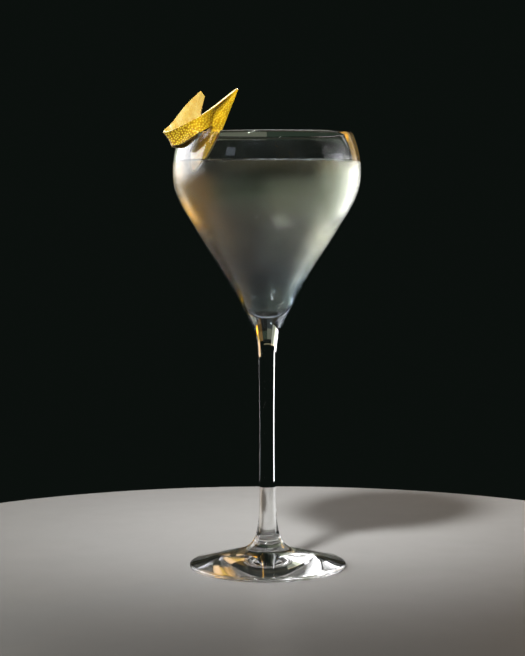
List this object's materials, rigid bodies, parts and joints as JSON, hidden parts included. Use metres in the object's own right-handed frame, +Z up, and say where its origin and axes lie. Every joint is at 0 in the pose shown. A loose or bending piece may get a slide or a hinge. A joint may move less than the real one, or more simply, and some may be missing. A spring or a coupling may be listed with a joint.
{
  "type": "cocktail in a stemmed glass with a lemon peel",
  "caption": "Pale cocktail in a tall stemmed glass with a shouldered, tapering bowl, and a folded strip of lemon peel hooked over the rim.",
  "frame": {"origin": "centre of the flat underside of the foot, on the glass's axis", "axes": "+Z up along the glass's axis; -Y is the front, and the peel hangs at the front left, between -X and -Y"},
  "size_m": [0.0845, 0.0816, 0.2073],
  "materials": {
    "clear_glass": "polished, clear",
    "pale_drink": "pale straw liquid, faintly cloudy",
    "lemon_rind": "fresh lemon rind, dimpled and slightly waxy, white pith on the back"
  },
  "bodies": {
    "root": {"glass": "clear_glass", "drink": "pale_drink", "lemon_peel": "lemon_rind"}
  },
  "joints": []
}
